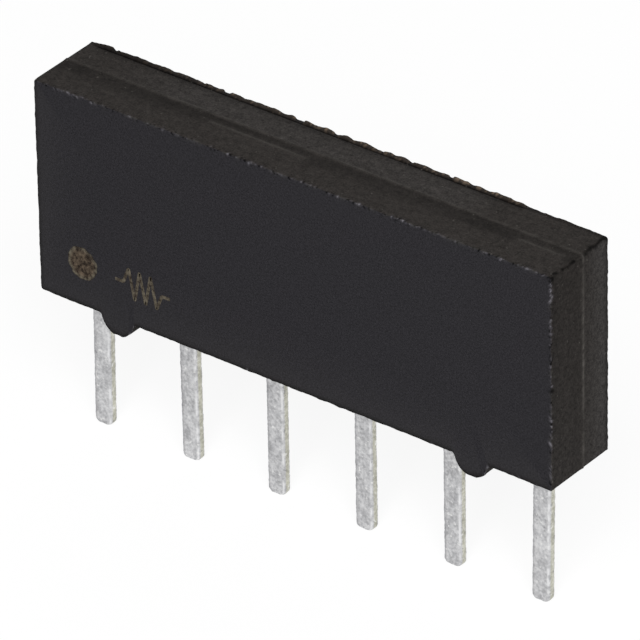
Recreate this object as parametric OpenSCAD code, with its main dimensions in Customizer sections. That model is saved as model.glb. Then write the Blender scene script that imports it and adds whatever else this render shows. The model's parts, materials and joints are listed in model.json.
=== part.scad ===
// Single-in-line resistor network: a moulded epoxy body over a printed alumina
// substrate, with a row of clip-on leads and two half-round standoffs.
// Lead 1 is at -X, the marked front face looks along -Y, and the origin lies on
// the board's surface, under the middle of the lead row.

/* [Leads] */
// Number of leads in the row
lead_count = 6; // [4:1:14]
// Distance between neighbouring leads
lead_pitch = 2.54; // [2.3:0.01:2.8]
// Width of a lead, along the row
lead_width = 0.50; // [0.40:0.01:0.60]
// Thickness of the strip that the leads are stamped from
lead_thickness = 0.25; // [0.20:0.01:0.30]
// Length of a lead below the board's surface
lead_length = 3.40; // [2.50:0.05:5.00]
// Radius of a lead's long edges
lead_edge_radius = 0.07; // [0.02:0.01:0.08]
// Radius of the corners at a lead's tip
lead_tip_radius = 0.15; // [0.06:0.01:0.18]
// Plain lead inside the body, below its clip
lead_embed = 0.30; // [0.15:0.01:0.60]

/* [Lead clips] */
// Height of the bar that carries a clip's fingers
clip_bar_height = 0.28; // [0.20:0.01:0.40]
// Width of each of the two fingers on the substrate's front face
front_finger_width = 0.30; // [0.20:0.01:0.40]
// Width of the finger on the substrate's rear face
rear_finger_width = 0.40; // [0.30:0.01:0.50]
// Gap between neighbouring fingers
finger_gap = 0.06; // [0.04:0.01:0.10]
// Length of a finger along the substrate's face
finger_grip = 0.95; // [0.60:0.05:1.20]

/* [Body] */
// From the centre of an end lead to the end of the body
end_margin = 0.985; // [0.90:0.005:1.30]
// Height of the body, from its underside to its top face
body_height = 5.63; // [4.60:0.01:8.00]
// Thickness of the body, from front to back
body_thickness = 2.15; // [1.90:0.01:2.60]
// Radius of the body's corners, seen from the front
corner_radius = 0.04; // [0.03:0.01:0.25]
// Radius of the rims round the front and rear faces
rim_radius = 0.02; // [0.01:0.005:0.10]
// How far the parting line lies behind the middle of the body
parting_offset = 0.125; // [0:0.005:0.30]
// Set-back of the rear half where the two mould halves meet
parting_step = 0.01; // [0.005:0.005:0.05]

/* [Standoffs] */
// Height of the body's underside above the board
standoff_height = 0.44; // [0.42:0.01:0.80]
// Radius of a standoff's half-round
standoff_radius = 0.46; // [0.35:0.01:0.60]
// Width of the flat foot under a standoff
foot_width = 0.27; // [0.15:0.01:0.40]
// Radius of the fillets where a standoff joins the underside
standoff_fillet = 0.10; // [0.05:0.01:0.15]

/* [Substrate] */
// Thickness of the alumina plate
substrate_thickness = 0.635; // [0.50:0.005:0.80]
// Moulding compound past each end of the plate
end_cover = 0.30; // [0.20:0.01:0.35]
// Moulding compound over the plate's top edge
top_cover = 0.60; // [0.40:0.01:0.90]

/* [Printed films] */
// Thickness of the conductor film
conductor_film = 0.025; // [0.02:0.005:0.04]
// Thickness of the resistor film, above the conductor it laps
resistor_film = 0.030; // [0.02:0.005:0.04]
// Thickness of the glass over the resistors
glaze_film = 0.040; // [0.03:0.005:0.06]
// Width of a pad past its clip, on each side
pad_margin = 0.06; // [0.02:0.01:0.08]
// Width of the conductor that rises from pad 1 to the bus
riser_width = 0.60; // [0.40:0.01:0.90]
// Height of the bus conductor
bus_height = 0.45; // [0.35:0.01:0.60]
// From the plate's top edge down to the bus
bus_inset = 0.25; // [0.15:0.01:0.40]
// Width of a resistor
resistor_width = 1.00; // [0.70:0.01:1.10]
// Length over which a resistor laps its conductors
resistor_lap = 0.20; // [0.10:0.01:0.30]
// Width of the cut that trims a resistor to value
trim_width = 0.06; // [0.04:0.01:0.10]
// Length of the trimming cut, from the resistor's edge
trim_length = 0.45; // [0.20:0.01:0.60]
// Glass past the resistors' edges and ends
glaze_margin = 0.06; // [0.03:0.01:0.10]
// Bare pad between the clip's fingers and the glass
glaze_clearance = 0.06; // [0.03:0.01:0.15]

/* [Solder] */
// Thickness of the solder on a pad, where it wets the fingers
solder_thickness = 0.20; // [0.12:0.01:0.20]
// Depth of the hollow in the solder's face
solder_hollow = 0.06; // [0.03:0.01:0.08]

/* [Hidden] */
$fn = 48;
// Length by which joined shapes and through cuts run past each other
overlap = 0.1;

row_length = (lead_count - 1) * lead_pitch;
body_length = row_length + 2 * end_margin;
body_base = standoff_height;
body_top = body_base + body_height;
body_front = -body_thickness / 2;
body_rear = body_thickness / 2;

// The standoffs stand midway between the two leads at each end of the row
standoff_x = row_length / 2 - lead_pitch / 2;
fillet_bite = standoff_fillet / 10;

substrate_front = -substrate_thickness / 2;
substrate_rear = substrate_thickness / 2;
substrate_length = body_length - 2 * end_cover;

// A finger leaves the bar at 45 degrees and straightens at the plate's lower edge
front_finger_y = substrate_front - conductor_film - lead_thickness / 2;
rear_finger_y = substrate_rear + lead_thickness / 2;
finger_bend = lead_thickness / 2 * tan(22.5);
clip_bottom = body_base + lead_embed;
clip_bar_top = clip_bottom + clip_bar_height;
substrate_bottom = clip_bar_top - front_finger_y + finger_bend;
substrate_top = body_top - top_cover;
clip_inner_width = rear_finger_width + 2 * finger_gap;
clip_width = clip_inner_width + 2 * front_finger_width;
finger_top = substrate_bottom + finger_grip;

film_face = substrate_front - conductor_film;
resistor_face = film_face - resistor_film;
glaze_face = resistor_face - glaze_film;
pad_width = clip_width + 2 * pad_margin;
glaze_bottom = finger_top + glaze_clearance;
resistor_bottom = glaze_bottom + glaze_margin;
pad_top = resistor_bottom + resistor_lap;
bus_top = substrate_top - bus_inset;
bus_bottom = bus_top - bus_height;
resistor_top = bus_bottom + resistor_lap;
glaze_top = resistor_top + glaze_margin;

function lead_x(i) = (i - 1) * lead_pitch - row_length / 2;
function names(stem, first, last) = [for (i = [first:last]) str(stem, i)];

// Block between two opposite corners
module block(low, high) {
    translate(low)
        cube(high - low);
}

// Rectangle between two opposite corners, with its corners rounded
module rounded_rectangle(low, high, radius) {
    size = high - low;
    translate(low + [radius, 0])
        square(size - [2 * radius, 0]);
    translate(low + [0, radius])
        square(size - [0, 2 * radius]);
    for (x = [low[0] + radius, high[0] - radius])
        for (y = [low[1] + radius, high[1] - radius])
            translate([x, y])
                circle(radius);
}

// Outline in Y and Z, carried along X
module along_x(low, high) {
    translate([low, 0, 0])
        rotate([90, 0, 90])
            linear_extrude(high - low)
                children();
}

// Outline in X and Z, carried along Y
module along_y(low, high) {
    translate([0, high, 0])
        rotate([90, 0, 0])
            linear_extrude(high - low)
                children();
}

// Outline in X and Y, carried along Z
module along_z(low, high) {
    translate([0, 0, low])
        linear_extrude(high - low)
            children();
}

// Half-round that reaches down from the body to a flat foot on the board
module standoff_outline(inset) {
    radius = standoff_radius - inset;
    underside = body_base + inset;
    centre = sqrt(pow(radius, 2) - pow(foot_width / 2 - inset, 2));
    difference() {
        union() {
            translate([0, centre])
                circle(radius);
            translate([-radius, centre])
                square([2 * radius, underside - centre + radius]);
            standoff_root(radius, underside);
        }
        translate([-radius, -radius])
            square([2 * radius, radius]);
    }
}

// Block across the top of a standoff, with a hollow fillet under each end;
// the hollows cross the standoff's side and the underside at a slight angle
module standoff_root(radius, underside) {
    fillet_x = radius + standoff_fillet - fillet_bite;
    fillet_height = underside - standoff_fillet + fillet_bite;
    difference() {
        translate([-fillet_x, fillet_height])
            square([2 * fillet_x, 2 * standoff_fillet]);
        for (side = [-1, 1])
            translate([side * fillet_x, fillet_height])
                circle(standoff_fillet);
    }
}

// The body seen from the front, drawn in by the inset
module body_outline(inset) {
    rounded_rectangle(
        [inset - body_length / 2, body_base + inset],
        [body_length / 2 - inset, body_top - inset],
        corner_radius
    );
    for (side = [-1, 1])
        translate([side * standoff_x, 0])
            standoff_outline(inset);
}

// The slice of the moulding between two depths, with the body's rims rounded
module mould_half(low, high, inset) {
    half_length = body_length / 2 - inset;
    intersection() {
        along_y(low, high)
            body_outline(inset);
        along_x(-body_length, body_length)
            rounded_rectangle([body_front, 0], [body_rear, body_top - inset], rim_radius);
        along_z(-overlap, body_top + overlap)
            rounded_rectangle([-half_length, body_front], [half_length, body_rear], rim_radius);
    }
}

module moulded_body() {
    color([0.18, 0.17, 0.18])
        difference() {
            union() {
                mould_half(body_front, parting_offset, 0);
                mould_half(parting_offset, body_rear, parting_step);
            }
            ceramic_substrate();
            common_conductor(overlap);
            glaze_sheet(overlap);
            for (i = [2:lead_count])
                pad(i, overlap);
            for (i = [1:lead_count]) {
                lead(i);
                solder(i, overlap);
            }
        }
}

module ceramic_substrate() {
    color([0.92, 0.91, 0.88])
        block(
            [-substrate_length / 2, substrate_front, substrate_bottom],
            [substrate_length / 2, substrate_rear, substrate_top]
        );
}

// A print on the plate's front face, from two corners in X and Z and its outer face;
// where it cuts another piece, it sinks into the plate
module print(low, high, face, sink) {
    block([low[0], face, low[1]], [high[0], substrate_front + sink, high[1]]);
}

// Printed conductor from the plate's lower edge to the top of a pad
module pad(i, sink = 0) {
    color([0.78, 0.77, 0.74])
        print(
            [lead_x(i) - pad_width / 2, substrate_bottom],
            [lead_x(i) + pad_width / 2, pad_top],
            film_face,
            sink
        );
}

// Pad 1, its riser and the bus are one print, shared by all the resistors
module common_conductor(sink = 0) {
    riser_left = lead_x(1) - riser_width / 2;
    bus_right = lead_x(lead_count) + resistor_width / 2;
    color([0.78, 0.77, 0.74])
        union() {
            pad(1, sink);
            print([riser_left, substrate_bottom], [riser_left + riser_width, bus_top], film_face, sink);
            print([riser_left, bus_bottom], [bus_right, bus_top], film_face, sink);
        }
}

// Resistor strip with the cut that trims it to value
module resistor_strip(i, sink) {
    low = lead_x(i + 1) - resistor_width / 2;
    trim_bottom = (pad_top + bus_bottom - trim_width) / 2;
    difference() {
        print([low, resistor_bottom], [low + resistor_width, resistor_top], resistor_face, sink);
        print(
            [low - overlap, trim_bottom],
            [low + trim_length, trim_bottom + trim_width],
            resistor_face - overlap,
            sink + overlap
        );
    }
}

// Film that laps the bus above and pad i + 1 below
module resistor(i) {
    color([0.16, 0.16, 0.17])
        difference() {
            resistor_strip(i, 0);
            common_conductor(overlap);
            pad(i + 1, overlap);
        }
}

// Outline of the glass print over all the resistors
module glaze_sheet(sink) {
    print(
        [lead_x(2) - resistor_width / 2 - glaze_margin, glaze_bottom],
        [lead_x(lead_count) + resistor_width / 2 + glaze_margin, glaze_top],
        glaze_face,
        sink
    );
}

// The glass covers the resistors and fills the space between them
module overglaze() {
    color([0.20, 0.42, 0.30])
        difference() {
            glaze_sheet(0);
            common_conductor(overlap);
            for (i = [2:lead_count])
                pad(i, overlap);
            for (i = [1:lead_count - 1])
                resistor_strip(i, overlap);
        }
}

// Left-hand normal of the line from a to b
function side_of(a, b) = [a[1] - b[1], b[0] - a[0]] / norm(b - a);

// The path moved sideways, with mitred bends
function beside(path, distance) = [
    for (i = [0:len(path) - 1])
        let (
            before = side_of(path[max(i - 1, 0)], path[max(i, 1)]),
            after = side_of(path[min(i, len(path) - 2)], path[min(i + 1, len(path) - 1)])
        )
        path[i] + distance * (before + after) / (1 + before * after)
];

// Outline of a bent strip whose middle follows the path
function strip(path, thickness) =
    let (one_side = beside(path, thickness / 2), other_side = beside(path, -thickness / 2))
    concat(one_side, [for (i = [len(path) - 1:-1:0]) other_side[i]]);

// A clip's finger: up with the bar, out at 45 degrees, then along the plate's face
module finger(low, high, face_y) {
    bend_top = substrate_bottom - finger_bend;
    along_x(low, high)
        polygon(strip(
            [
                [0, clip_bottom],
                [0, bend_top - abs(face_y)],
                [face_y, bend_top],
                [face_y, finger_top]
            ],
            lead_thickness
        ));
}

// Straight lead with rounded edges and tip corners
module lead_blade() {
    blade_top = clip_bottom + clip_bar_height / 2;
    intersection() {
        along_z(-lead_length - overlap, blade_top)
            rounded_rectangle(
                [-lead_width / 2, -lead_thickness / 2],
                [lead_width / 2, lead_thickness / 2],
                lead_edge_radius
            );
        along_y(-lead_thickness, lead_thickness)
            rounded_rectangle(
                [-lead_width / 2, -lead_length],
                [lead_width / 2, blade_top + lead_tip_radius],
                lead_tip_radius
            );
    }
}

// Stamped lead whose clip has two fingers in front of the plate and one behind
module lead(i) {
    color([0.76, 0.76, 0.77])
        translate([lead_x(i), 0, 0])
            union() {
                lead_blade();
                block(
                    [-clip_width / 2, -lead_thickness / 2, clip_bottom],
                    [clip_width / 2, lead_thickness / 2, clip_bar_top]
                );
                finger(-clip_width / 2, -clip_inner_width / 2, front_finger_y);
                finger(-rear_finger_width / 2, rear_finger_width / 2, rear_finger_y);
                finger(clip_inner_width / 2, clip_width / 2, front_finger_y);
            }
}

// Solder on the pad between a clip's two front fingers, with a hollow face;
// where it cuts the moulding, it sinks into the pad and the fingers
module solder(i, sink = 0) {
    half_width = clip_inner_width / 2;
    hollow_radius = (pow(half_width, 2) + pow(solder_hollow, 2)) / (2 * solder_hollow);
    outer_face = film_face - solder_thickness;
    color([0.70, 0.71, 0.72])
        translate([lead_x(i), 0, 0])
            difference() {
                block(
                    [-half_width - sink, outer_face, substrate_bottom],
                    [half_width + sink, film_face + sink, finger_top]
                );
                translate([0, outer_face + solder_hollow - hollow_radius, substrate_bottom - overlap])
                    cylinder(r = hollow_radius, h = finger_grip + 2 * overlap);
            }
}

moulded_body();
ceramic_substrate();
common_conductor();
for (i = [2:lead_count])
    pad(i);
for (i = [1:lead_count - 1])
    resistor(i);
overglaze();
for (i = [1:lead_count])
    lead(i);
for (i = [1:lead_count])
    solder(i);
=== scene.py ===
"""The looks of a single-in-line resistor network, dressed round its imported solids."""
import json

import bpy
import numpy as np
from mathutils import Matrix, Vector


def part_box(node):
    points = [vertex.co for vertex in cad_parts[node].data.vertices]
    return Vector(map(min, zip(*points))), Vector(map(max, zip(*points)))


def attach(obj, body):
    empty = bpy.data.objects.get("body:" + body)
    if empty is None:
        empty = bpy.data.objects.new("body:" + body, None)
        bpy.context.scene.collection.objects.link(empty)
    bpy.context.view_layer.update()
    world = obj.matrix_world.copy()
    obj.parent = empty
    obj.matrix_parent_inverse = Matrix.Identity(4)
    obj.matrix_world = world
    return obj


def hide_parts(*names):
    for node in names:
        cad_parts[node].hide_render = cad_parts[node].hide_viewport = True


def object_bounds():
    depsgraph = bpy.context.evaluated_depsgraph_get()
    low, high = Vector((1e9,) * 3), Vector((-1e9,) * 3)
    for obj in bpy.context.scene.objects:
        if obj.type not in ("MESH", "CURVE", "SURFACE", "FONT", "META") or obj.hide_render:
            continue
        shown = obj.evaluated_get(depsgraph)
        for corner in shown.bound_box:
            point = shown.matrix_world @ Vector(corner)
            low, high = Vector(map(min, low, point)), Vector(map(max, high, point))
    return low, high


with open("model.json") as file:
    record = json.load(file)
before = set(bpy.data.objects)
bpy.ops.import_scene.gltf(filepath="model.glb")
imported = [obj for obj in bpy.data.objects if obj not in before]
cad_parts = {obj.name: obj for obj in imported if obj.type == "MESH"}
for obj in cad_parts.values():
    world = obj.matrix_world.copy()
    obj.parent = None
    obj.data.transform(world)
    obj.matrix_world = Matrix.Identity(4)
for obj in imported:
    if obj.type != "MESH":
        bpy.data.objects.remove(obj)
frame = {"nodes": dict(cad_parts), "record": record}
cad_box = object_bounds()


# Ceramic substrate: a pressed and fired alumina plate that carries the printed circuit.
# The moulding closes round it, so it shows only where the part is cut open.
mm = 0.001
alumina_grain = 0.05 * mm
alumina_relief = alumina_grain / 15


def linear(colour):
    """An sRGB hex colour as linear red, green and blue, with an alpha of 1."""
    srgb = np.array([int(colour[i:i + 2], 16) for i in (1, 3, 5)]) / 255
    return [*np.where(srgb <= 0.04045, srgb / 12.92, ((srgb + 0.055) / 1.055) ** 2.4), 1.0]


def add_node(tree, kind, inputs=None, **settings):
    """A node with its settings; an input takes a value, or a link where it is given an output."""
    node = tree.nodes.new("ShaderNode" + kind)
    for name, value in settings.items():
        setattr(node, name, value)
    for socket, value in (inputs or {}).items():
        if isinstance(value, bpy.types.NodeSocket):
            tree.links.new(value, node.inputs[socket])
        else:
            node.inputs[socket].default_value = value
    return node


def new_material(name):
    """A material with an empty node tree."""
    material = bpy.data.materials.new(name)
    material.use_nodes = True
    material.node_tree.nodes.clear()
    return material


def spotted(name, dark, light, grain, relief, **finish):
    """A fired or cast surface, with spots of two tones at the grain's size that are also its relief."""
    material = new_material(name)
    tree = material.node_tree
    place = add_node(tree, "TexCoord")
    spots = add_node(tree, "TexNoise", {
        "Vector": place.outputs["Object"], "Scale": 1 / grain, "Detail": 3.0,
    })
    colour = add_node(
        tree, "Mix", {"Factor": spots.outputs["Fac"], 6: linear(dark), 7: linear(light)}, data_type="RGBA"
    )
    bump = add_node(tree, "Bump", {"Height": spots.outputs["Fac"], "Distance": relief})
    surface = add_node(tree, "BsdfPrincipled", {
        "Base Color": colour.outputs[2], "Normal": bump.outputs["Normal"], **finish,
    })
    add_node(tree, "OutputMaterial", {"Surface": surface.outputs["BSDF"]})
    return material


def dress(start, material):
    """Gives the solids of the frame whose names start so their material."""
    for name, solid in frame["nodes"].items():
        if name.startswith(start):
            solid.data.materials.clear()
            solid.data.materials.append(material)


# Fired alumina is off-white and dull, with a grain that is too fine to feel. It is drawn several
# times coarser than it is, so that it shows.
fired_alumina = spotted("fired_alumina", "#D9D4C6", "#ECE9E0", alumina_grain, alumina_relief, Roughness=0.7)
dress("ceramic_substrate", fired_alumina)


# Conductors: silver alloy ink, screen printed on the plate and fired. One print joins lead 1's
# pad to the bus over all the resistors, and each other lead has a pad of its own.
screen_mesh = 0.06 * mm
ink_relief = screen_mesh / 12

# Fired silver ink is pale and satin, and keeps a little of the screen's mesh in its surface
fired_silver = spotted(
    "fired_silver_ink", "#B9B4A8", "#DAD7CF", screen_mesh, ink_relief, Metallic=1.0, Roughness=0.45
)
dress("common_conductor", fired_silver)
dress("pad_", fired_silver)


# Resistors: strips of metal oxide ink that lap the bus and a pad, fired, and each trimmed to
# value by a cut from one side.

# Fired oxide ink is a dull black with a slight sparkle of glass
fired_oxide = spotted("fired_oxide_ink", "#141416", "#26272A", screen_mesh, ink_relief, Roughness=0.55)
dress("resistor_", fired_oxide)


# Overglaze: a sheet of green glass, screen printed over the resistors and fired. It seals them
# before the body is moulded round them.
glass_ripple = 0.3 * mm
glass_relief = glass_ripple / 60

# Fired glass is smooth and glossy, with slow ripples where the ink levelled out
fired_glass = spotted(
    "fired_green_glass", "#1F4A33", "#2F6A48", glass_ripple, glass_relief, Roughness=0.15
)
dress("overglaze", fired_glass)


# Leads: stamped from copper alloy strip, plated with matte tin and pushed on the plate's edge,
# which each grips by two fingers in front and one behind. The plating is thin on the cut sides.
lead_half_width = 0.25 * mm
lead_half_thickness = 0.125 * mm
lead_edge_radius = 0.07 * mm
lead_tip_radius = 0.15 * mm
lead_tip_rounding = 0.05 * mm
clip_bottom = 0.74 * mm
clip_bar_top = 1.02 * mm
clip_edge_radius = 0.02 * mm
clip_bend = np.radians(45)
front_finger_half_width = 0.15 * mm
rear_finger_half_width = 0.20 * mm
lead_ring_step = 0.03 * mm
clip_ring_step = 0.08 * mm
sharp_edge = np.radians(50)
plating_lump = 0.16 * mm
plating_relief = 0.003 * mm
fine_lump_share = 0.6
tin_speckle = 0.075 * mm
tin_relief = tin_speckle / 14
tin_cloud = 0.30 * mm
tin_pit = 0.11 * mm
highlight_patch_length = 0.28 * mm
highlight_place = 0.215 * mm
highlight_width = 0.024 * mm
highlight_range = (-0.7, 1.0)
highlight_least = 0.15
highlight_strength = 0.9
highlight_turn = 0.3
cut_side_turn = 0.98
shade_start = 0.13 * mm
shade_strength = 0.75
lead_lean = np.radians([-0.5, 0.5, 0.0, 0.1, 0.0, -0.8])


def waves(points, size, seed, count=40, lengths=(0.7, 1.4)):
    """A random field of unit spread: many plane waves of about one length, in random directions."""
    rng = np.random.default_rng(seed)
    direction = rng.normal(size=(count, 3))
    direction /= np.linalg.norm(direction, axis=1, keepdims=True)
    pitch = 2 * np.pi / (size * rng.uniform(*lengths, (count, 1)))
    phase = rng.uniform(0, 2 * np.pi, count)
    return np.cos(points @ (direction * pitch).T + phase).sum(axis=-1) * np.sqrt(2 / count)


def smooth(low, high, value):
    """A smooth step from 0 at low to 1 at high."""
    share = np.clip((value - low) / (high - low), 0, 1)
    return share * share * (3 - 2 * share)


def ridge(value, middle, width):
    """A bell-shaped ridge of height 1 about the middle."""
    return np.exp(-(((value - middle) / width) ** 2))


def strip_section(flat_steps=(5, 12), corner_steps=5):
    """Round a strip's section, as shares and directions: a point lies at the share of the half sizes,
    each less the edge radius, plus the radius along the direction."""
    corners = np.array([[1, 1], [-1, 1], [-1, -1], [1, -1]])
    shares, angles = [], []
    for side in range(4):
        flat = np.linspace(0, 1, flat_steps[side % 2], endpoint=False)[:, None]
        turn = np.linspace(0, 90, corner_steps, endpoint=False)
        between = corners[side - 1] * (1 - flat) + corners[side] * flat
        shares += [between, np.tile(corners[side], (corner_steps, 1))]
        angles += [np.full(len(flat), 90 * side), 90 * side + turn]
    angle = np.radians(np.concatenate(angles))
    return np.concatenate(shares), np.stack([np.cos(angle), np.sin(angle)], axis=-1)


def carried(path, half_width, half_thickness, radius):
    """The strip's section carried along a path in Y and Z, square to it: rings of points."""
    share, direction = strip_section()
    step = np.gradient(path, axis=0)
    step /= np.linalg.norm(step, axis=1, keepdims=True)
    square = np.stack([step[:, 1], -step[:, 0]], axis=-1)
    half = np.stack(np.broadcast_arrays(half_width, half_thickness), axis=-1).reshape(-1, 1, 2)
    across, through = np.moveaxis(share * (half - radius) + radius * direction, -1, 0)
    across, through = np.broadcast_arrays(across, through + np.zeros((len(path), 1)))
    middle = path[:, None, :] + through[..., None] * square[:, None, :]
    return np.concatenate([across[..., None], middle], axis=-1)


def even_steps(corners, spacing):
    """The line through the corners, cut into steps of equal length."""
    length = np.concatenate([[0], np.cumsum(np.linalg.norm(np.diff(corners, axis=0), axis=1))])
    at = np.linspace(0, length[-1], round(length[-1] / spacing) + 1)
    return np.stack([np.interp(at, length, column) for column in corners.T], axis=-1)


def new_piece(name, shells, material, values):
    """A closed mesh of one or more shells of rings, with quads from ring to ring, a cap on each end
    and named values at its points; it rides on the part's one body."""
    faces, first = [], 0
    for rings in shells:
        place = first + np.arange(rings.shape[0] * rings.shape[1]).reshape(rings.shape[:2])
        beside = np.roll(place, -1, axis=1)
        quads = np.stack([place[:-1], beside[:-1], beside[1:], place[1:]], axis=-1).reshape(-1, 4)
        faces += [*quads.tolist(), place[0, ::-1].tolist(), place[-1].tolist()]
        first += place.size
    mesh = bpy.data.meshes.new(name)
    mesh.from_pydata(np.concatenate([rings.reshape(-1, 3) for rings in shells]), [], faces)
    mesh.polygons.foreach_set("use_smooth", np.ones(len(mesh.polygons), bool))
    mesh.set_sharp_from_angle(angle=sharp_edge)
    for title, value in values.items():
        kind, field = ("FLOAT_VECTOR", "vector") if np.shape(value)[-1:] == (3,) else ("FLOAT", "value")
        attribute = mesh.attributes.new(title, kind, "POINT")
        attribute.data.foreach_set(field, np.ravel(value).astype(np.float32))
    mesh.materials.append(material)
    piece = bpy.data.objects.new(name, mesh)
    bpy.context.scene.collection.objects.link(piece)
    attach(piece, "root")
    return piece


# Matte tin is a bright grey with a frosted, speckled skin, drawn coarser than its crystals are so
# that it shows. It has a painted highlight beside one edge and painted shade beside the other, and
# it is a little yellow on the cut sides, because the copper alloy shows through.
tin_plate = new_material("matte_tin_plate")
tree = tin_plate.node_tree
place = add_node(tree, "TexCoord")
speckle = add_node(tree, "TexNoise", {
    "Vector": place.outputs["Object"], "Scale": 1 / tin_speckle, "Detail": 3.0, "Roughness": 0.6,
})
speckle_share = add_node(
    tree, "MapRange", {"Value": speckle.outputs["Fac"], "From Min": 0.32, "From Max": 0.68}
)
cloud = add_node(tree, "TexNoise", {
    "Vector": place.outputs["Object"], "Scale": 1 / tin_cloud, "Detail": 2.0,
})
cut_share, edge_highlight_share, edge_shade_share = (
    add_node(tree, "Attribute", attribute_name=title) for title in ("cut_side", "edge_highlight", "painted_edge_shade")
)
face_tone = add_node(tree, "Mix", {
    "Factor": speckle_share.outputs[0], 6: linear("#ABABAD"), 7: linear("#CFCFD0"),
}, data_type="RGBA")
side_tone = add_node(tree, "Mix", {
    "Factor": speckle_share.outputs[0], 6: linear("#ABAA9C"), 7: linear("#CAC9BD"),
}, data_type="RGBA")
tin_tone = add_node(tree, "Mix", {
    "Factor": cut_share.outputs["Fac"], 6: face_tone.outputs[2], 7: side_tone.outputs[2],
}, data_type="RGBA")
clouded = add_node(
    tree, "Mix", {"Factor": 0.45, 6: tin_tone.outputs[2], 7: cloud.outputs["Fac"]},
    data_type="RGBA", blend_type="OVERLAY",
)
# Painted highlight: a bright line along each lead's front right edge, in patches
highlighted_tone = add_node(tree, "Mix", {
    "Factor": edge_highlight_share.outputs["Fac"], 6: clouded.outputs[2], 7: linear("#EBEBEC"),
}, data_type="RGBA")
grit = add_node(tree, "TexNoise", {
    "Vector": place.outputs["Object"], "Scale": 1 / tin_pit, "Detail": 2.0,
})
pit_share = add_node(
    tree, "MapRange", {"Value": grit.outputs["Fac"], "From Min": 0.34, "From Max": 0.27, "To Max": 0.5}
)
pitted = add_node(tree, "Mix", {
    "Factor": pit_share.outputs[0], 6: highlighted_tone.outputs[2], 7: linear("#77777A"),
}, data_type="RGBA")
glint_share = add_node(
    tree, "MapRange", {"Value": grit.outputs["Fac"], "From Min": 0.62, "From Max": 0.72, "To Max": 0.7}
)
glinting = add_node(tree, "Mix", {
    "Factor": glint_share.outputs[0], 6: pitted.outputs[2], 7: linear("#EBEBE9"),
}, data_type="RGBA")
# Painted shade: a darker grey along each lead's front left edge
edge_shaded_tone = add_node(tree, "Mix", {
    "Factor": edge_shade_share.outputs["Fac"], 6: glinting.outputs[2], 7: linear("#88888C"),
}, data_type="RGBA")
tin_roughness = add_node(tree, "MapRange", {
    "Value": speckle.outputs["Fac"], "From Min": 0.3, "From Max": 0.7, "To Min": 0.5, "To Max": 0.38,
})
tin_bump = add_node(
    tree, "Bump", {"Height": speckle.outputs["Fac"], "Distance": tin_relief, "Strength": 0.6}
)
surface = add_node(tree, "BsdfPrincipled", {
    "Base Color": edge_shaded_tone.outputs[2], "Metallic": 1.0,
    "Roughness": tin_roughness.outputs[0], "Normal": tin_bump.outputs["Normal"],
})
add_node(tree, "OutputMaterial", {"Surface": surface.outputs["BSDF"]})

plate_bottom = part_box("ceramic_substrate")[0].z
bend_top = plate_bottom - lead_half_thickness * np.tan(clip_bend / 2)
underside = 0.44 * mm
for number, lean in enumerate(lead_lean, start=1):
    low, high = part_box(f"lead_{number}")
    middle_x = (low.x + high.x) / 2
    clip_half_width = (high.x - low.x) / 2
    tip_turn = np.radians(np.linspace(0, 90, 9))
    tip_rise = lead_tip_radius * (1 - np.cos(tip_turn))
    tip_width = lead_half_width - lead_tip_radius * (1 - np.sin(tip_turn))
    tip_edge = np.clip(tip_rise / lead_tip_rounding, 0, 1)
    tip_thickness = lead_half_thickness - lead_tip_rounding * (1 - np.sqrt(1 - (1 - tip_edge) ** 2))
    blade_steps = round((clip_bottom - low.z - lead_tip_radius) / lead_ring_step)
    blade_z = np.linspace(low.z + lead_tip_radius, clip_bottom, blade_steps + 1)[1:]
    bar_z = np.array([clip_bottom + clip_edge_radius, clip_bar_top])
    height = np.concatenate([low.z + tip_rise, blade_z, bar_z])
    half_width = np.concatenate([
        tip_width, np.full(len(blade_z), lead_half_width), np.full(len(bar_z), clip_half_width),
    ])
    half_thickness = np.concatenate([
        tip_thickness, np.full(len(blade_z) + len(bar_z), lead_half_thickness),
    ])
    blade = carried(
        np.stack([np.zeros_like(height), height], axis=-1), half_width, half_thickness, lead_edge_radius
    )
    shells = [blade]
    front_y, rear_y = low.y + lead_half_thickness, high.y - lead_half_thickness
    for offset, half, face_y in (
        (front_finger_half_width - clip_half_width, front_finger_half_width, front_y),
        (0.0, rear_finger_half_width, rear_y),
        (clip_half_width - front_finger_half_width, front_finger_half_width, front_y),
    ):
        bends = np.array([
            [0, clip_bottom], [0, bend_top - abs(face_y)], [face_y, bend_top], [face_y, high.z],
        ])
        finger = carried(even_steps(bends, clip_ring_step), half, lead_half_thickness, clip_edge_radius)
        shells.append(finger + [offset, 0, 0])
    share, direction = strip_section()
    facing_side, facing_front = np.abs(direction).T
    cut_side = (facing_side > cut_side_turn).astype(float)
    across = (share * (lead_half_width - lead_edge_radius) + lead_edge_radius * direction)[:, 0]
    # The painted highlight lies on the front face beside its right edge
    edge = ridge(across, highlight_place, highlight_width) * (facing_front > highlight_turn)
    # The painted shade lies on the front face beside its left edge
    painted_edge_shade = shade_strength * smooth(-shade_start, -lead_half_width, across) * (1 - cut_side)
    lumps = waves(blade + middle_x, plating_lump, 11)
    fine_lumps = waves(blade + middle_x, plating_lump / 2, 12)
    relief = plating_relief * (lumps + fine_lump_share * fine_lumps)
    blade[..., :2] += relief[..., None] * direction
    shells = [rings + [middle_x, 0, 0] for rings in shells]
    shells[0][..., 0] += np.tan(lean) * np.clip(underside - shells[0][..., 2], 0, None)
    points = np.concatenate(shells)
    highlight_patches = smooth(*highlight_range, waves(points, highlight_patch_length, 13))
    lead = new_piece(f"plated_lead_{number}", shells, tin_plate, {
        "cut_side": np.tile(cut_side, len(points)),
        "edge_highlight": highlight_strength * edge * (highlight_least + (1 - highlight_least) * highlight_patches),
        "painted_edge_shade": np.tile(painted_edge_shade, len(points)),
    })
    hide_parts(f"lead_{number}")


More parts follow.
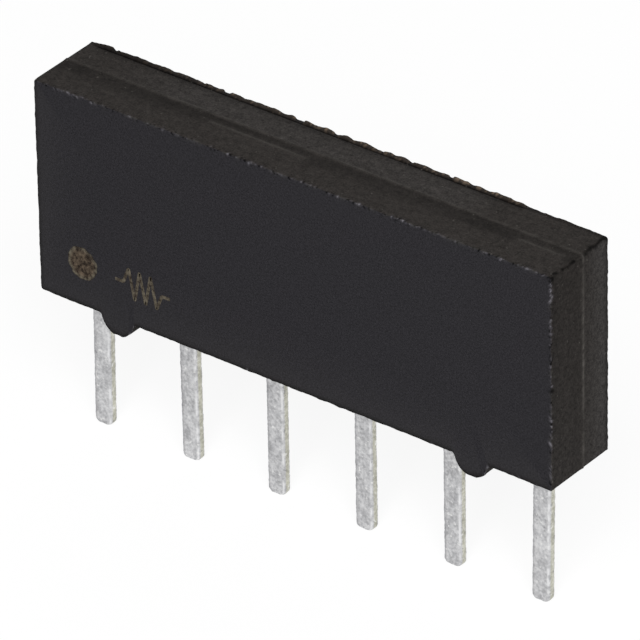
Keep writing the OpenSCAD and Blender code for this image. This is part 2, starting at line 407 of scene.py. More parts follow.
# Solder: a tin alloy, reflowed between each clip's front fingers and its pad, where it joins the
# lead to the print. It wets both, so its face is hollow.
solder_grain = 0.12 * mm
solder_relief = solder_grain / 40

# Cooled solder is a soft grey with a faint crystal pattern
cooled_solder = spotted(
    "cooled_solder", "#A9ABAD", "#C9CBCD", solder_grain, solder_relief, Metallic=1.0, Roughness=0.35
)
dress("solder_", cooled_solder)


# Moulded body: black epoxy, pressed round the plate between two mould halves. The halves meet a
# little behind the middle, where a thin flash stands proud. A ragged burr is left along the rear
# rim, and the brittle front edges are chipped.
corner_radii = {
    "top_left": 0.03 * mm, "top_right": 0.08 * mm, "bottom_right": 0.03 * mm, "bottom_left": 0.07 * mm,
}
rim_radius = 0.018 * mm
parting_y = 0.125 * mm
parting_step = 0.004 * mm
standoff_radius = 0.46 * mm
foot_half_width = 0.135 * mm
standoff_fillet = 0.10 * mm
fine_step = 0.024 * mm
coarse_step = 0.045 * mm
side_turn = 0.7


def arc(centre, radius, start, end, steps=25):
    """Points on a circle in X and Z, from one angle to another, in degrees."""
    angle = np.radians(np.linspace(start, end, steps))
    return np.add(centre, radius * np.stack([np.cos(angle), np.sin(angle)], axis=-1))


def rounded_corner(corner, centre, name, start):
    """A quarter circle, clockwise, that touches both sides of a corner; centre is the body's middle."""
    radius = corner_radii[name]
    return arc(corner + radius * np.sign(np.subtract(centre, corner)), radius, start, start - 90)


def standoff_outline(x):
    """A half-round with a flat foot and a hollow fillet on each side, from right to left. Each fillet
    meets the half-round by a short straight run."""
    foot_rise = np.sqrt(standoff_radius ** 2 - foot_half_width ** 2)
    foot_angle = np.degrees(np.arcsin(foot_half_width / standoff_radius))
    fillet_x = standoff_radius + standoff_fillet
    return np.concatenate([
        arc([x + fillet_x, underside - standoff_fillet], standoff_fillet, 90, 170),
        arc([x, foot_rise], standoff_radius, -15, foot_angle - 90),
        arc([x, foot_rise], standoff_radius, -foot_angle - 90, -165),
        arc([x - fillet_x, underside - standoff_fillet], standoff_fillet, 10, 90),
    ])


def body_outline(low, high, feet):
    """The body from the front, clockwise from its top left corner, with the standoffs under it. The
    top and the right end, where the edges are most broken, have finer steps."""
    centre = [(low.x + high.x) / 2, (underside + high.z) / 2]
    upper = even_steps(np.concatenate([
        rounded_corner(np.array([low.x, high.z]), centre, "top_left", 180),
        rounded_corner(np.array([high.x, high.z]), centre, "top_right", 90),
        rounded_corner(np.array([high.x, underside]), centre, "bottom_right", 0),
    ]), fine_step)
    lower = even_steps(np.concatenate([
        upper[-1:],
        *(standoff_outline(x) for x in sorted(feet, reverse=True)),
        rounded_corner(np.array([low.x, underside]), centre, "bottom_left", -90),
        upper[:1],
    ]), coarse_step)
    return np.concatenate([upper[:-1], lower[:-1]])


low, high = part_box("moulded_body")
feet = [mount["pos_m"][0] for mount in frame["record"]["mounts"] if mount["name"].endswith("_foot")]
outline = body_outline(low, high, feet)
edge_x, edge_z = outline.T
step = np.roll(outline, -1, axis=0) - np.roll(outline, 1, axis=0)
step_length = np.linalg.norm(step, axis=1)
outward = np.stack([-step[:, 1], step[:, 0]], axis=-1) / step_length[:, None]
along = np.cumsum(step_length) / 2
on_top = outward[:, 1] > side_turn
on_right = outward[:, 0] > side_turn
on_left = outward[:, 0] < -side_turn
top_or_right_end = on_top | on_right
edge_points = np.stack([edge_x, np.full(len(outline), high.y), edge_z], axis=-1)

# Rings from the front face over its rim, along the wall, over the rear rim and on to the rear
# face: how far each is drawn in from the outline, how deep it lies and how far it has turned
rim_turn = np.radians(np.linspace(-90, 0, 6))
front_inset = np.array([1.6, 0.9, 0.5, 0.25, 0.13, 0.085, 0.055, 0.035]) * mm
rear_inset = front_inset[:2:-1]
front_wall = np.array([0.015, 0.03, 0.05, 0.08, 0.12]) * mm
by_parting = np.array([
    -0.42, -0.38, -0.35, -0.325, -0.30, -0.275, -0.25, -0.20, -0.14, -0.09, -0.05, -0.025, -0.01, 0.0,
    0.003, 0.02, 0.045, 0.075, 0.12,
]) * mm
by_burr = np.array([0.22, 0.18, 0.155, 0.135, 0.12, 0.105, 0.09, 0.075, 0.06, 0.045, 0.03, 0.015]) * mm
wall_depth = np.concatenate([
    low.y + rim_radius + front_wall,
    np.linspace(low.y + rim_radius + front_wall[-1], parting_y + by_parting[0], 7)[1:-1],
    parting_y + by_parting,
    np.linspace(parting_y + by_parting[-1], high.y - rim_radius - by_burr[0], 6)[1:-1],
    high.y - rim_radius - by_burr,
])
tilt = np.concatenate([
    np.full(len(front_inset), rim_turn[0]), rim_turn, np.zeros(len(wall_depth)),
    -rim_turn[::-1], np.full(len(rear_inset), -rim_turn[0]),
])
rim_inset = rim_radius * (1 - np.cos(rim_turn))
rim_depth = rim_radius * (1 + np.sin(rim_turn))
inset = np.concatenate([front_inset, rim_inset, np.zeros(len(wall_depth)), rim_inset[::-1], rear_inset])
depth = np.concatenate([
    np.full(len(front_inset), low.y), low.y + rim_depth, wall_depth,
    high.y - rim_depth[::-1], np.full(len(rear_inset), high.y),
])
behind = depth > parting_y

# Each ring is the outline, drawn in towards the long middle line of the body
middle_z = (underside + high.z) / 2
half_height = (high.z - underside) / 2
spine_x = np.clip(edge_x, low.x + half_height, high.x - half_height)
drawn_in = np.stack([spine_x - edge_x, np.zeros(len(outline)), middle_z - edge_z], axis=-1)
body = np.stack(np.broadcast_arrays(edge_x, depth[:, None], edge_z), axis=-1)
body = body + (inset[:, None, None] / half_height) * drawn_in

# The front half ramps up to a wavy flash at the parting, with a faint flow ridge before it
ramp_width = 0.16 * mm
ramp_height = 0.008 * mm
flash_width = 0.03 * mm
flash_height = 0.010 * mm
flash_mean = 0.7
flash_least = 0.2
flash_wave = 0.9 * mm
flash_wave_share = 0.25
flash_ripple = 0.2 * mm
flash_ripple_share = 0.2
flash_peak_z = 3.7 * mm
flash_peak_length = 0.8 * mm
flow_ridge_gap = 0.31 * mm
flow_ridge_width = 0.04 * mm
flow_ridge_height = 0.006 * mm
flow_ridge_fade = 0.4 * mm
flow_ridge_spans = [(-3.1 * mm, 0.0), (5.6 * mm, 7.2 * mm)]
to_parting = np.where(behind, np.inf, parting_y - depth)
flash = flash_mean + flash_wave_share * waves(edge_points, flash_wave, 21)
flash = flash + flash_ripple_share * waves(edge_points, flash_ripple, 22)
flash = np.clip(flash, flash_least, None)
flash = flash * (1 + on_right * ridge(edge_z, flash_peak_z, flash_peak_length))
flash_profile = ridge(to_parting, 0, flash_width)
ramp_profile = smooth(ramp_width, 0, to_parting)
flow_profile = ridge(to_parting, flow_ridge_gap, flow_ridge_width)
flow_ridge = on_top * sum(
    smooth(start, start + flow_ridge_fade, edge_x) * smooth(end, end - flow_ridge_fade, edge_x)
    for start, end in flow_ridge_spans
)
rise = flash_height * flash_profile[:, None] * flash + ramp_height * ramp_profile[:, None]
rise = rise + flow_ridge_height * flow_profile[:, None] * flow_ridge - parting_step * behind[:, None]

# The rear rim's burr: torn, so that its height comes and goes, with a crease along its root
burr_width = 0.09 * mm
burr_height = 0.065 * mm
burr_slope = 0.7 * burr_width
burr_fade = 0.4 * mm
burr_end = 5.3 * mm
burr_past_end = 0.15
burr_off_top = 0.1
burr_mean = 0.75
burr_swell = 0.16
burr_swell_length = 0.3 * mm
tear_length = 0.55 * mm
fine_tear_length = 0.2 * mm
fine_tear_share = 0.7
tear_range = (-2.0, -0.9)
crease_depth = 0.03 * mm
crease_width = 0.025 * mm
burr_root = high.y - rim_radius - burr_width
burr_share = smooth(low.x, low.x + burr_fade, edge_x)
burr_share = burr_share * (1 - (1 - burr_past_end) * smooth(burr_end - burr_fade, burr_end, edge_x))
burr_share = np.where(on_top, burr_share, burr_off_top)
torn = waves(edge_points, tear_length, 24) + fine_tear_share * waves(edge_points, fine_tear_length, 25)
swell = burr_mean + burr_swell * waves(edge_points, burr_swell_length, 26)
burr = burr_share * smooth(*tear_range, torn) * swell
burr_profile = smooth(burr_root, burr_root + burr_slope, depth) * np.cos(tilt)
crease_profile = ridge(depth, burr_root, crease_width)
rise = rise + burr_height * burr_profile[:, None] * burr
rise = rise - crease_depth * crease_profile[:, None] * burr_share

# Chips along the front rim: each is a small scoop. The largest are placed on the top and the
# right end, and small ones are strewn between them, closest where the epoxy is most brittle.
large_chips_x = np.array([-6.31, -5.68, -4.55, -1.71, -1.11, 2.01, 2.91, 3.21, 5.96, 6.69, 7.15]) * mm
large_chips_z = np.array([5.85, 5.72, 5.53, 5.45, 3.20, 2.30, 2.15, 2.02, 1.67, 0.80]) * mm
large_chip_ratio = 1.4
large_strengths = (0.35, 0.75)
small_strengths = (0.05, 0.38)
chip_spacing = 0.11 * mm
chip_size = 0.036 * mm
chip_depth = 0.025 * mm
shortest_chip, longest_chip = 0.45, 0.95
narrowest_chip, widest_chip = 0.5, 1.0
chip_scatter = 0.5
chip_mean = 0.85
chip_ragged = 0.3
brittle_patch = 2 * mm
brittle_swing = 0.45
brittle_least = 0.2
brittle_top, brittle_end, brittle_elsewhere = 0.82, 0.8, 0.08
rng = np.random.default_rng(31)
on_edge_x = [np.argmin(np.abs(edge_x - x) + (high.z - edge_z)) for x in large_chips_x]
on_edge_z = [np.argmin(np.abs(edge_z - z) + (high.x - edge_x)) for z in large_chips_z]
large_at = along[on_edge_x + on_edge_z]
brittle = np.clip(1 + brittle_swing * waves(edge_points, brittle_patch, 33), brittle_least, None)
brittle = step_length * brittle * (brittle_elsewhere + brittle_top * on_top + brittle_end * on_right)
small_count = round(brittle.sum() / 2 / chip_spacing)
small_at = along[rng.choice(len(outline), small_count, p=brittle / brittle.sum())]
chip_at = np.concatenate([large_at, small_at])
large_strength = rng.uniform(*large_strengths, len(large_at))
small_strength = rng.uniform(*small_strengths, small_count)
chip_strength = np.concatenate([large_strength, small_strength])
chip_scale = chip_size * np.concatenate([np.full(len(large_at), large_chip_ratio), np.ones(small_count)])
chip_length, chip_width = chip_scale * rng.uniform(
    [[shortest_chip], [narrowest_chip]], [[longest_chip], [widest_chip]], (2, len(chip_at))
)
chip_middle = chip_size * rng.normal(0, chip_scatter, len(chip_at))
to_front_rim = depth - low.y - inset
scoops = chip_strength[:, None] * ridge(to_front_rim, chip_middle[:, None], chip_width[:, None])
chip = scoops.T @ ridge(along, chip_at[:, None], chip_length[:, None])
chip = np.clip(chip * (chip_mean + chip_ragged * waves(body, chip_size, 32)), 0, 1)

# Both rims waver a little, and each chip is scooped out evenly from the wall and the front face
wobble_height = 0.005 * mm
wobble_length = 0.4 * mm
fine_wobble_length = 0.15 * mm
fine_wobble_share = 0.8
wobble_reach = 0.1 * mm
wobble = waves(body, wobble_length, 34) + fine_wobble_share * waves(body, fine_wobble_length, 35)
near_rim = np.maximum(ridge(depth, low.y, wobble_reach), ridge(depth, high.y, wobble_reach))
near_rim = near_rim * np.cos(tilt)
scoop = chip_depth * chip / np.sqrt(2)
rise = rise + wobble_height * near_rim[:, None] * wobble - scoop
body[..., [0, 2]] += rise[..., None] * outward
body[..., 1] += scoop

# Painted shade on the walls: a band before the parting, the front part of the right end, the broken
# corner line from the top to that end, the burr's crease, the rear rims, the front rims on the left
# and below, and pits and holes along the front edges
band_reach = np.where(flow_ridge > 0.3, 0.24 * mm, 0.44 * mm)
band_start, band_full = 1.5 * band_reach, 0.6 * band_reach
band_gap = 0.09 * mm
band_gap_start = 0.2 * band_gap
band_patch = 1.5 * mm
band_top, band_swing, band_elsewhere = 0.38, 0.06, 0.1
end_shade_strength = 0.28
end_shade_fade = 0.6
corner_line_width = np.where(behind, 0.065 * mm, 0.045 * mm)[:, None]
corner_line_wander = 0.02 * mm
corner_line_wave = 0.3 * mm
corner_line_break = 0.25 * mm
corner_line_range = (-0.3, 0.9)
crease_shade = 0.15 * mm
crease_shade_strength = 0.4
rear_rim_width = 0.09 * mm
rear_rim_inset = 0.03 * mm
rear_rim_strength = 0.9
front_rim_width = 0.09 * mm
front_rim_strength = np.where(on_left, 0.65, 0.95)
pit_size = 0.09 * mm
pit_reach = 0.06 * mm
pit_strength = 1.7
pit_threshold = 0.6
pit_edges = np.where(top_or_right_end, 1, 0.15)
hole_size = 0.06 * mm
hole_places = np.array([0.06, 3.0]) * mm
hole_middle = 0.03 * mm
hole_reach = 0.07 * mm
hole_strength = 1.5
wall = np.broadcast_to(np.cos(tilt)[:, None] ** 2, chip.shape)
lower = (high.z - edge_z) / (high.z - underside)
to_front = np.clip((parting_y - depth) / (parting_y - low.y), 0, 1)[:, None]
band = smooth(band_start, band_full, to_parting[:, None])
band = band * smooth(band_gap_start, band_gap, to_parting)[:, None]
band = band * np.where(on_top, band_top + band_swing * waves(edge_points, band_patch, 41), band_elsewhere)
end_shade = end_shade_strength * on_right * to_front * (1 - end_shade_fade * lower) * wall
corner_at = along[np.argmin(np.abs(outward[:, 0] - outward[:, 1]) + (outward[:, 1] < 0))]
corner_place = corner_at + corner_line_wander * waves(body, corner_line_wave, 45)
broken = smooth(*corner_line_range, waves(body, corner_line_break, 42))
broken = np.where(behind[:, None], 1, broken)
corner = ridge(along, corner_place, corner_line_width) * broken * wall
crease_tail = crease_shade_strength * ridge(depth, burr_root, crease_shade) * (depth < burr_root)
crease = np.maximum(crease_profile, crease_tail)[:, None] * burr_share
rear_rim = rear_rim_strength * ridge(depth, high.y, rear_rim_width) * ridge(inset, 0, rear_rim_inset)
front_rim = front_rim_strength * ridge(to_front_rim, 0, front_rim_width)[:, None]
rims = np.where(top_or_right_end, rear_rim[:, None], front_rim)
# Pits and holes are not cut into the rim: only their painted shade is drawn
pit_shade = pit_strength * np.clip(waves(body, pit_size, 44) - pit_threshold, 0, 1)
pit_shade = pit_shade * ridge(to_front_rim, 0, pit_reach)[:, None] * pit_edges
hole_shade = sum(ridge(along, corner_at + place, hole_size) for place in hole_places)
hole_shade = hole_strength * hole_shade * ridge(to_front_rim, hole_middle, hole_reach)[:, None]
# Together these are the painted shade, kept in the dark attribute
dark = np.clip(band + end_shade + corner + crease + rims + pit_shade + hole_shade, 0, 1)

# Where they look pale: the rear half, most of all in the middle of the top and towards the end's
# rear rim, and the torn burr. A painted highlight lies along the flash, the flow ridge and the front
# edges of the top and the right end, and painted glare makes the front face a shade paler towards
# its left and lower edges
rear_top_strength = 0.31
rear_top_start, rear_top_full = -6.6 * mm, -3.8 * mm
rear_top_fade, rear_top_end = 3.6 * mm, 4.9 * mm
rear_end_strength = 0.88
low_end_strength = 0.2
lip_width = 0.05 * mm
lip_middle = parting_y + 0.2 * lip_width
lip_strength = np.where(on_top, 0.09, 0.18)
flow_ridge_strength = 0.10
front_rim_highlight_width = 0.06 * mm
front_rim_highlight_patch = 0.3 * mm
front_rim_highlight_range = (-0.4, 1.2)
front_rim_highlight_strength = 0.08
front_glare_fade = 0.6 * mm
front_glare_strength = 0.048
bead_size = 0.12 * mm
bead_range = (0.2, 1.2)
bead_least, bead_strength = 0.15, 0.7
bleach_start, bleach_full = -5.0 * mm, -2.5 * mm
bleach_least = 0.25
to_rear = np.clip((depth - parting_y) / (high.y - parting_y), 0, 1)[:, None]
rear_top = rear_top_strength * smooth(rear_top_start, rear_top_full, edge_x)
rear_top = rear_top * smooth(rear_top_end, rear_top_fade, edge_x)
rear_end = rear_end_strength * to_rear + low_end_strength * lower * (1 - to_rear)
rear = np.where(on_right, rear_end, rear_top * behind[:, None])
# Painted highlight along the crest of the flash and of the flow ridge
lip_profile = ridge(depth, lip_middle, lip_width)
painted_highlight = lip_strength * lip_profile[:, None] * flash
painted_highlight = painted_highlight + flow_ridge_strength * flow_profile[:, None] * flow_ridge
# Painted highlight in patches along the front rims of the top and the right end
front_rim_highlight = ridge(to_front_rim, 0, front_rim_highlight_width)[:, None] * top_or_right_end
painted_highlight = painted_highlight + front_rim_highlight_strength * front_rim_highlight * smooth(*front_rim_highlight_range, waves(edge_points, front_rim_highlight_patch, 46))
# Painted glare: the front face a shade paler towards its left and lower edges
front_glare = np.exp(-inset / front_glare_fade) - np.exp(-front_inset[0] / front_glare_fade)
on_front = (depth < low.y + rim_radius) & (inset < front_inset[0])
painted_highlight = painted_highlight + front_glare_strength * (on_front * front_glare)[:, None] * ~top_or_right_end
beads = bead_least + bead_strength * smooth(*bead_range, waves(body, bead_size, 43))
bleached_burr = bleach_least + (1 - bleach_least) * smooth(bleach_start, bleach_full, edge_x)
torn_tone = on_top * burr_profile[:, None] * burr * bleached_burr * beads

# Moulded epoxy is black and dull with a fine grain, drawn about twice as coarse as it is so that it
# shows. The front is a cool black and the walls are browner, a difference of tint that is painted
# light colour; the walls have drawn-out flow marks, the rear half is paler, and broken edges show grey
# filler, made paler by a painted highlight. The painted shade and painted highlights worked out above
# are laid over the tone.
epoxy_grain = 0.04 * mm
epoxy_relief = epoxy_grain / 8
epoxy_cloud = 0.12 * mm
filler_size = 0.10 * mm
streak_length = 0.9 * mm
streak_width = 0.10 * mm
flow_along = along / np.where(on_top, streak_length, streak_width)
flow = np.stack(np.broadcast_arrays(flow_along, depth[:, None] / streak_width, 0.0), axis=-1)
moulded_epoxy = new_material("moulded_black_epoxy")
tree = moulded_epoxy.node_tree
place = add_node(tree, "TexCoord")
grain = add_node(tree, "TexNoise", {
    "Vector": place.outputs["Object"], "Scale": 1 / epoxy_grain, "Detail": 3.0, "Roughness": 0.6,
})
cloud = add_node(tree, "TexNoise", {
    "Vector": place.outputs["Object"], "Scale": 1 / epoxy_cloud, "Detail": 3.0,
})
wall_share, rear_share, painted_shade_share, highlight_share, torn_share, chip_share, flow_place = (
    add_node(tree, "Attribute", attribute_name=title)
    for title in ("wall", "rear", "dark", "painted_highlight", "torn", "chip", "flow")
)
streak = add_node(tree, "TexNoise", {"Vector": flow_place.outputs["Vector"], "Scale": 1.0, "Detail": 3.0})
# The front's cooler tone and the walls' browner tone are painted light colour
side_tone = add_node(tree, "Mix", {
    "Factor": rear_share.outputs["Fac"], 6: linear("#312E2C"), 7: linear("#454342"),
}, data_type="RGBA")
base_tone = add_node(tree, "Mix", {
    "Factor": wall_share.outputs["Fac"], 6: linear("#2C2B2E"), 7: side_tone.outputs[2],
}, data_type="RGBA")
wall_marks = add_node(
    tree, "Math", {0: streak.outputs["Fac"], 1: 0.4, 2: cloud.outputs["Fac"]}, operation="MULTIPLY_ADD"
)
wall_level = add_node(tree, "MapRange", {
    "Value": wall_marks.outputs[0], "From Min": 0.4, "From Max": 1.0, "To Min": -0.38, "To Max": 0.38,
})
grain_level = add_node(tree, "MapRange", {
    "Value": grain.outputs["Fac"], "From Min": 0.3, "From Max": 0.7, "To Min": 0.6, "To Max": 1.4,
})
streaked = add_node(
    tree, "Math", {0: wall_level.outputs[0], 1: wall_share.outputs["Fac"], 2: grain_level.outputs[0]},
    operation="MULTIPLY_ADD",
)
# The painted shade darkens the tone
unshaded = add_node(tree, "MapRange", {"Value": painted_shade_share.outputs["Fac"], "To Min": 1.0, "To Max": 0.12})
shade = add_node(tree, "Math", {0: streaked.outputs[0], 1: unshaded.outputs[0]}, operation="MULTIPLY")
shaded = add_node(tree, "VectorMath", {
    0: base_tone.outputs[2], "Scale": shade.outputs[0],
}, operation="SCALE")
filler = add_node(tree, "TexNoise", {
    "Vector": place.outputs["Object"], "Scale": 1 / filler_size, "Detail": 1.0,
})
filler_share = add_node(
    tree, "MapRange", {"Value": filler.outputs["Fac"], "From Min": 0.72, "From Max": 0.80, "To Max": 0.25}
)
wall_filler = add_node(
    tree, "Math", {0: filler_share.outputs[0], 1: wall_share.outputs["Fac"]}, operation="MULTIPLY"
)
filled = add_node(tree, "Mix", {
    "Factor": wall_filler.outputs[0], 6: shaded.outputs[0], 7: linear("#7D7A75"),
}, data_type="RGBA")
# The painted highlights lighten the tone towards a pale grey
highlighted = add_node(tree, "Mix", {
    "Factor": highlight_share.outputs["Fac"], 6: filled.outputs[2], 7: linear("#7D7A75"),
}, data_type="RGBA")
burred = add_node(tree, "Mix", {
    "Factor": torn_share.outputs["Fac"], 6: highlighted.outputs[2], 7: linear("#7A6B5C"),
}, data_type="RGBA")
# Chips show grey filler, made paler by a painted highlight on their broken faces
chipped = add_node(tree, "Mix", {
    "Factor": chip_share.outputs["Fac"], 6: burred.outputs[2], 7: linear("#838087"),
}, data_type="RGBA")
epoxy_bump = add_node(
    tree, "Bump", {"Height": grain.outputs["Fac"], "Distance": epoxy_relief, "Strength": 0.6}
)
surface = add_node(tree, "BsdfPrincipled", {
    "Base Color": chipped.outputs[2], "Roughness": 0.85, "Specular IOR Level": 0.05,
    "Normal": epoxy_bump.outputs["Normal"],
})
add_node(tree, "OutputMaterial", {"Surface": surface.outputs["BSDF"]})

body_piece = new_piece("epoxy_body", [body], moulded_epoxy, {
    "wall": wall, "rear": np.clip(rear, 0, 1), "dark": dark,
    "painted_highlight": np.clip(painted_highlight, 0, 1), "torn": np.clip(torn_tone, 0, 1), "chip": chip, "flow": flow,
})
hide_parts("moulded_body")


# Laser marks: a round spot for lead 1 and a plain zigzag sign for a resistor. The beam bleaches
# the epoxy to a dull tan and leaves it frosted and uneven.
mark_height = 0.004 * mm
mark_root = 0.004 * mm
spot_radius = 0.43 * mm
spot_x = -6.066 * mm
spot_z = 1.584 * mm
sign_x = -4.30 * mm
sign_z = 1.54 * mm
sign_length = 1.60 * mm
sign_swing = 0.40 * mm
sign_half_width = 0.042 * mm
sign_bleach = 0.30
sign_scorch = 0.2
zigzag_share = 0.35
spot_ragged = 0.025
spot_ragged_length = 0.25 * mm
spot_bleach = 0.21
ring_bleach = 0.12
ring_place = 0.9
ring_width = 0.06
edge_fade = 0.13
edge_fade_start = 0.92
scorch_range = (0.95, 0.7)
mark_speckle = 0.11 * mm
mark_relief = mark_speckle / 10

# Frosted epoxy is a dull tan, speckled where the beam bit more or less, and browner where the beam
# dwelt, inside the spot
frosted_epoxy = new_material("laser_frosted_epoxy")
tree = frosted_epoxy.node_tree
place = add_node(tree, "TexCoord")
frost = add_node(tree, "TexNoise", {
    "Vector": place.outputs["Object"], "Scale": 1 / mark_speckle, "Detail": 3.0, "Roughness": 0.65,
})
bleach_share = add_node(tree, "Attribute", attribute_name="bleached")
scorch_share = add_node(tree, "Attribute", attribute_name="scorched")
frost_level = add_node(tree, "MapRange", {
    "Value": frost.outputs["Fac"], "From Min": 0.35, "From Max": 0.65, "To Min": -0.28, "To Max": 0.28,
})
bleach_level = add_node(tree, "Math", {
    0: frost_level.outputs[0], 1: bleach_share.outputs["Fac"],
}, operation="ADD", use_clamp=True)
frost_tone = add_node(tree, "Mix", {
    "Factor": scorch_share.outputs["Fac"], 6: linear("#827C6C"), 7: linear("#857563"),
}, data_type="RGBA")
mark_tone = add_node(tree, "Mix", {
    "Factor": bleach_level.outputs[0], 6: linear("#2A231E"), 7: frost_tone.outputs[2],
}, data_type="RGBA")
mark_bump = add_node(tree, "Bump", {"Height": frost.outputs["Fac"], "Distance": mark_relief})
surface = add_node(tree, "BsdfPrincipled", {
    "Base Color": mark_tone.outputs[2], "Roughness": 0.85, "Specular IOR Level": 0.05,
    "Normal": mark_bump.outputs["Normal"],
})
add_node(tree, "OutputMaterial", {"Surface": surface.outputs["BSDF"]})


def frosted_spot(steps=12, around=96, innermost=0.05):
    """A low dome with a ragged edge: circles from the root up to the rim and in to the middle, and
    each circle's share of the radius."""
    angle = np.linspace(0, 2 * np.pi, around, endpoint=False)
    share = np.concatenate([[1.0], np.linspace(1, innermost, steps)])
    rise = np.concatenate([[-mark_root], mark_height * np.sqrt(np.linspace(0, 1, steps))])
    ring = np.stack([np.cos(angle), np.zeros(around), np.sin(angle)], axis=-1)
    ragged = 1 + spot_ragged * waves(ring * spot_radius, spot_ragged_length, 51)
    points = share[:, None, None] * (spot_radius * ragged)[:, None] * ring
    middle = np.stack([np.full(len(rise), spot_x), low.y - rise, np.full(len(rise), spot_z)], axis=-1)
    return points + middle[:, None], share


def frosted_line(corners, blur_steps=9):
    """A low ridge along a line in X and Z, which is blurred to round its corners: its section is a
    flat arch, square to the line."""
    path = even_steps(np.array(corners), sign_half_width / 3)
    blur = np.hanning(blur_steps) / np.hanning(blur_steps).sum()
    margin = blur_steps // 2
    padded = np.pad(path, ((margin, margin), (0, 0)), mode="reflect", reflect_type="odd")
    path = np.stack([np.convolve(column, blur, mode="valid") for column in padded.T], axis=-1)
    step = np.gradient(path, axis=0)
    square = np.stack([-step[:, 1], step[:, 0]], axis=-1) / np.linalg.norm(step, axis=1, keepdims=True)
    across = sign_half_width * np.array([1, 1, 0.6, -0.6, -1, -1])
    rise = np.array([-mark_root, mark_height / 2, mark_height, mark_height, mark_height / 2, -mark_root])
    flat = path[:, None, :] + across[:, None] * square[:, None, :]
    return np.stack([flat[..., 0], np.broadcast_to(low.y - rise, flat.shape[:2]), flat[..., 1]], axis=-1)


spot, spot_share = frosted_spot()
bleached = spot_bleach + ring_bleach * ridge(spot_share, ring_place, ring_width)
bleached = bleached - edge_fade * smooth(edge_fade_start, 1.0, spot_share)
new_piece("pin_1_mark", [spot], frosted_epoxy, {
    "bleached": np.repeat(bleached, spot.shape[1]),
    "scorched": np.repeat(smooth(*scorch_range, spot_share), spot.shape[1]),
})
swings = sign_swing * np.array([0, 1, -1, 1, -1, 1, -1, 0])
peaks = np.linspace(-zigzag_share, zigzag_share, len(swings)) * sign_length
corners = np.stack([sign_x + peaks, sign_z + swings], axis=-1)
ends = np.array([[sign_x - sign_length / 2, sign_z], [sign_x + sign_length / 2, sign_z]])
zigzag = frosted_line(np.concatenate([ends[:1], corners, ends[1:]]))
new_piece("zigzag_mark", [zigzag], frosted_epoxy, {
    "bleached": np.full(zigzag.shape[:2], sign_bleach),
    "scorched": np.full(zigzag.shape[:2], sign_scorch),
})


# Floor: a sheet of white card under the lead tips. It looks white to the eye and in the metal,
# and keeps a part of its own shading, so that the part's soft shadow lies on it.
floor_half = 600 * mm
floor_glow = 0.89
floor_z = cad_box[0].z


def seen_rays(tree):
    """1 for the rays that show a thing to the eye, in shiny metal or through glass, and 0 for others."""
    rays = add_node(tree, "LightPath")
    shiny = add_node(tree, "Math", {
        0: rays.outputs["Is Camera Ray"], 1: rays.outputs["Is Glossy Ray"],
    }, operation="MAXIMUM")
    seen = add_node(tree, "Math", {
        0: shiny.outputs[0], 1: rays.outputs["Is Transmission Ray"],
    }, operation="MAXIMUM")
    return seen.outputs[0]


# White card is matte. What is seen of it is mostly its own glow, over a darker tone that takes the
# shadows, and what it throws back on the part is a plain white card's light.
white_card = new_material("white_card")
tree = white_card.node_tree
seen = seen_rays(tree)
card_tone = add_node(
    tree, "Mix", {"Factor": seen, 6: linear("#E6E6E6"), 7: linear("#676767")}, data_type="RGBA"
)
glow_level = add_node(tree, "Math", {0: seen, 1: floor_glow}, operation="MULTIPLY")
glow = add_node(tree, "Emission", {"Strength": glow_level.outputs[0]})
card = add_node(tree, "BsdfDiffuse", {"Color": card_tone.outputs[2]})
both = add_node(tree, "AddShader", {0: glow.outputs[0], 1: card.outputs[0]})
add_node(tree, "OutputMaterial", {"Surface": both.outputs[0]})

floor_mesh = bpy.data.meshes.new("floor")
floor_sides = floor_half * np.array([[-1, -1], [1, -1], [1, 1], [-1, 1]])
floor_corners = np.column_stack([floor_sides, np.full(len(floor_sides), floor_z)])
floor_mesh.from_pydata(floor_corners, [], [(0, 1, 2, 3)])
floor_mesh.materials.append(white_card)
floor = bpy.data.objects.new("floor", floor_mesh)
bpy.context.scene.collection.objects.link(floor)


# Studio: dim walls that look white to the eye and in the metal, a large soft key from the front
# right, a faint light from the rear left that gives the top its sheen, and a low fill behind.
wall_light = 0.15
lamps = {
    "key": {"place": (110, -150, 170), "size": 160, "level": 8.0},
    "sheen": {"place": (-130, 165, 130), "size": 200, "level": 0.6},
    "fill": {"place": (-60, 220, 12), "size": 160, "level": 1.4},
}

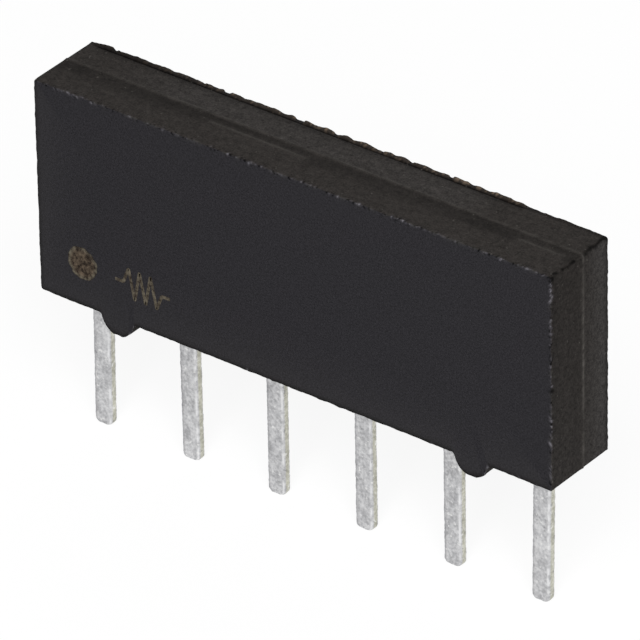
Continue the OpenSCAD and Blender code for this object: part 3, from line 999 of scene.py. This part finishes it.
world = bpy.data.worlds.new("studio")
world.use_nodes = True
tree = world.node_tree
tree.nodes.clear()
dim = add_node(tree, "Background", {"Color": linear("#FFFFFF"), "Strength": wall_light})
white = add_node(tree, "Background", {"Color": linear("#FFFFFF"), "Strength": 1.0})
walls = add_node(tree, "MixShader", {0: seen_rays(tree), 1: dim.outputs[0], 2: white.outputs[0]})
add_node(tree, "OutputWorld", {"Surface": walls.outputs[0]})
bpy.context.scene.world = world

body_middle = Vector((0, 0, middle_z))
for name, lamp in lamps.items():
    light = bpy.data.lights.new(name, "AREA")
    light.shape = "SQUARE"
    light.size = lamp["size"] * mm
    light.energy = lamp["level"] * np.pi * light.size ** 2
    holder = bpy.data.objects.new(name, light)
    holder.location = Vector(lamp["place"]) * mm
    holder.rotation_euler = (holder.location - body_middle).to_track_quat("Z", "Y").to_euler()
    holder.visible_camera = False
    bpy.context.scene.collection.objects.link(holder)


# Camera: a long lens, above and to the right of the front face, rolled by about a degree. The scale
# is the image's at the middle of the body's underside.
view_azimuth = np.radians(38.00)
view_elevation = np.radians(32.19)
view_roll = np.radians(-1.04)
view_distance = 221.8 * mm
image_width = 640
pixels_per_mm = 43.777
aim_right = -0.014 * mm
aim_up = 1.101 * mm

back = np.array([
    np.sin(view_azimuth) * np.cos(view_elevation),
    -np.cos(view_azimuth) * np.cos(view_elevation),
    np.sin(view_elevation),
])
level_right = np.array([np.cos(view_azimuth), np.sin(view_azimuth), 0])
level_up = np.cross(back, level_right)
right = np.cos(view_roll) * level_right + np.sin(view_roll) * level_up
up = np.cross(back, right)
eye = np.array([0, 0, underside]) + back * view_distance
aim = np.array([0, 0, underside]) + right * aim_right + up * aim_up
look_back = (eye - aim) / np.linalg.norm(eye - aim)
look_right = right - look_back * (right @ look_back)
look_right /= np.linalg.norm(look_right)
look_up = np.cross(look_back, look_right)

camera_data = bpy.data.cameras.new("camera")
frame_width = image_width / pixels_per_mm * mm
camera_data.lens = camera_data.sensor_width * view_distance / frame_width
camera_data.clip_start = view_distance / 10
camera_data.clip_end = view_distance * 10
camera = bpy.data.objects.new("camera", camera_data)
turn = Matrix(np.stack([look_right, look_up, look_back], axis=-1).tolist())
camera.matrix_world = Matrix.Translation(Vector(eye)) @ turn.to_4x4()
bpy.context.scene.collection.objects.link(camera)
bpy.context.scene.camera = camera
bpy.context.scene.view_settings.view_transform = "Standard"
